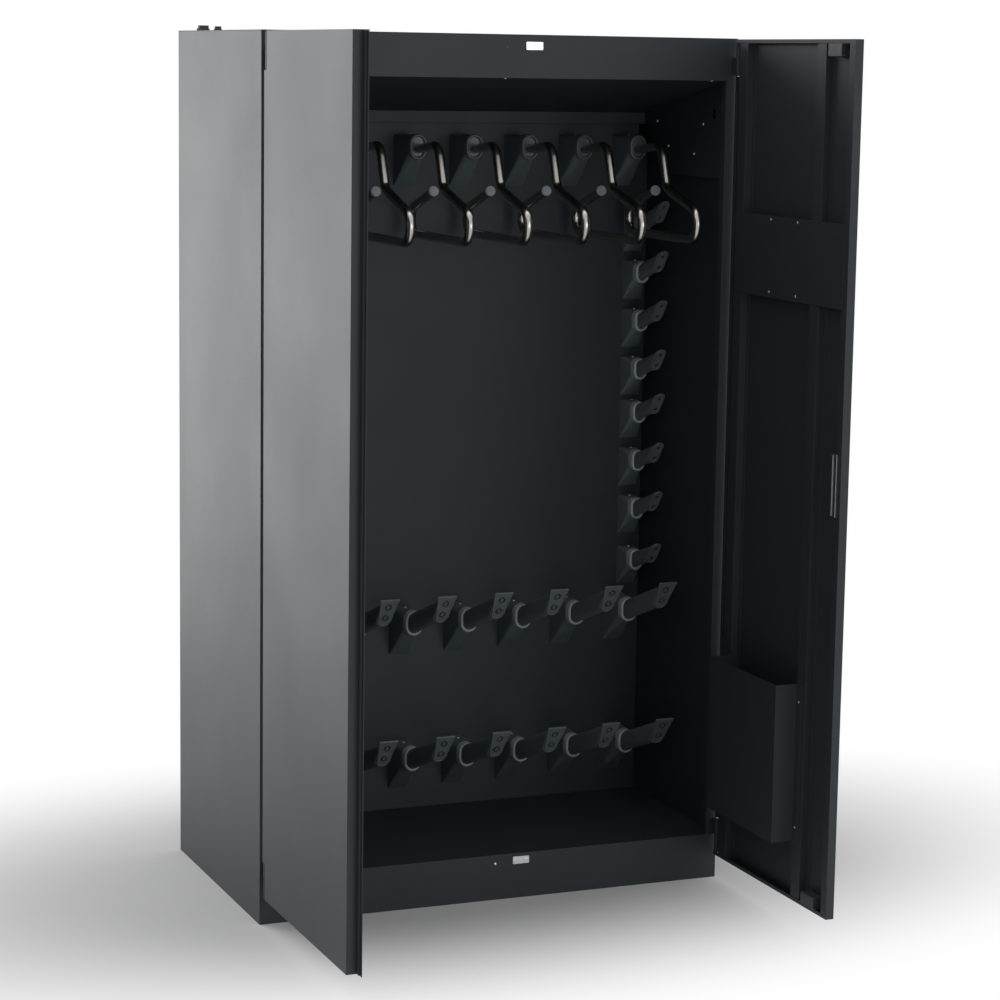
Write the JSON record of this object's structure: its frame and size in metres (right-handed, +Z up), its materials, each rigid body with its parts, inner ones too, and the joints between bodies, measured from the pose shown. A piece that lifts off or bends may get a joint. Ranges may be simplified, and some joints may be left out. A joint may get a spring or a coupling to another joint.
{
  "type": "drying cabinet",
  "caption": "Tall sheet-steel drying cabinet with two hinged doors, blown-air hangers and rows of warm-air nozzles for boots and gloves.",
  "frame": {"origin": "on the floor, at the centre of the body's footprint (the doors stand open in front of it)", "axes": "+X to the cabinet's right as seen from the front, +Y to its back, +Z up"},
  "size_m": [1.15, 1.2642, 2.013],
  "materials": {
    "paint": "satin powder coat, anthracite",
    "bright_steel": "bright zinc plate",
    "dark_chrome": "black chrome, polished",
    "moulded_plastic": "fine moulded texture",
    "cap_plastic": "fine moulded texture, lighter grey",
    "knob_plastic": "moulded, light grey",
    "seal_rubber": "extruded, matt",
    "catch_plastic": "moulded, dark grey",
    "magnet": "pressed ferrite",
    "pull_aluminium": "extruded, anodised",
    "housing_steel": "galvanised sheet",
    "motor_paint": "dipped paint",
    "heater_metal": "heat-stained fins and rods",
    "box_plastic": "moulded, light grey",
    "gland_plastic": "moulded, black"
  },
  "bodies": {
    "cabinet": {"side_panel_left": "paint", "side_panel_right": "paint", "back_panel": "paint", "roof_panel": "paint", "floor_panel": "paint", "floor_support": "paint", "bottom_rail": "paint", "header_panel": "paint", "ceiling_baffle": "paint", "nozzle_panel": "paint", "chamber_lip": "paint", "duct_cover_left": "paint", "duct_cover_right": "paint", "frame_hinges_left": "paint", "frame_hinges_right": "paint", "blower_shelf": "paint", "panel_screws": "bright_steel", "hood_screws": "bright_steel", "strike_plates": "bright_steel", "strike_screws": "bright_steel", "hinge_pins_left": "bright_steel", "hinge_pins_right": "bright_steel", "hanger_1": "dark_chrome", "hanger_2": "dark_chrome", "hanger_3": "dark_chrome", "hanger_4": "dark_chrome", "hanger_5": "dark_chrome", "hanger_6": "dark_chrome", "hanger_7": "dark_chrome", "hanger_8": "dark_chrome", "hanger_hoods": "moulded_plastic", "boot_hoods": "moulded_plastic", "glove_hoods": "moulded_plastic", "boot_tubes": "moulded_plastic", "glove_tubes": "moulded_plastic", "boot_caps": "cap_plastic", "glove_caps": "cap_plastic", "hanger_knobs": "knob_plastic", "blower_housing": "housing_steel", "heater_frame": "housing_steel", "blower_motor": "motor_paint", "heater_element": "heater_metal", "control_box": "box_plastic", "cable_glands": "gland_plastic"},
    "left_door": {"left_door_leaf": "paint", "left_door_stiffeners": "paint", "left_meeting_strip": "paint", "meeting_seal": "seal_rubber", "left_door_hinges": "paint"},
    "right_door": {"right_door_leaf": "paint", "right_door_stiffeners": "paint", "right_cover_plate": "paint", "document_pocket": "paint", "right_door_rivets": "bright_steel", "catch_housings": "catch_plastic", "catch_magnets": "magnet", "pull_strip": "pull_aluminium", "right_door_hinges": "paint"},
    "blower_wheel": {"blower_wheel": "housing_steel"}
  },
  "joints": [
    {"name": "left_door_hinge", "type": "hinge", "parent": "cabinet", "child": "left_door", "pos_m": [-0.5665, -0.3475, 1], "axis": [0, 0, 1], "range_deg": [-90, 90]},
    {"name": "right_door_hinge", "type": "hinge", "parent": "cabinet", "child": "right_door", "pos_m": [0.5665, -0.3475, 1], "axis": [0, 0, -1], "range_deg": [-90, 90]},
    {"name": "blower_spin", "type": "hinge", "parent": "cabinet", "child": "blower_wheel", "pos_m": [0, 0.234, 1.889], "axis": [1, 0, 0], "continuous": true}
  ]
}
